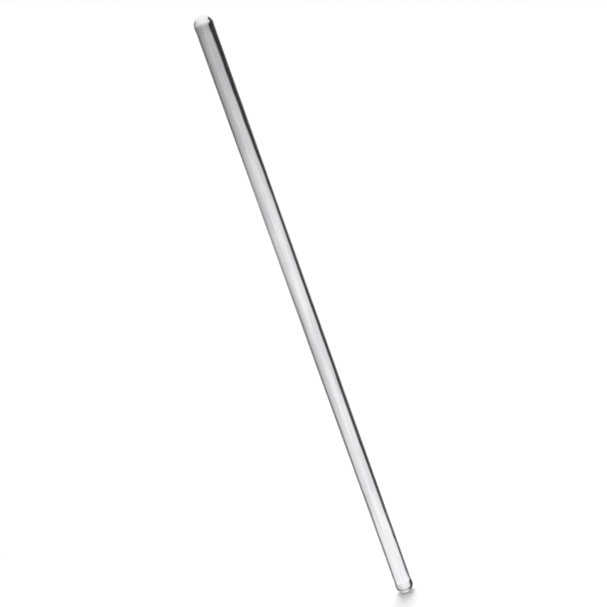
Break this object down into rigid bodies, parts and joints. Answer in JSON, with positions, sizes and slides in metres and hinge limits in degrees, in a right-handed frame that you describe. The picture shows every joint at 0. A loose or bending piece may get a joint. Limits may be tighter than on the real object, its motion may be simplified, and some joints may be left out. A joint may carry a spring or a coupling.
{
  "type": "glass stirring rod",
  "caption": "Straight rod of solid clear glass with fire-polished, rounded tips, for stirring and for guiding a poured liquid.",
  "frame": {"origin": "lowest point of the stirring tip, on the rod's axis", "axes": "+Z along the rod's axis, from the stirring tip to the upper tip; X and Y are any two directions across it"},
  "size_m": [0.0062, 0.0062, 0.2],
  "materials": {
    "clear_glass": "polished"
  },
  "bodies": {
    "root": {"rod": "clear_glass"}
  },
  "joints": []
}
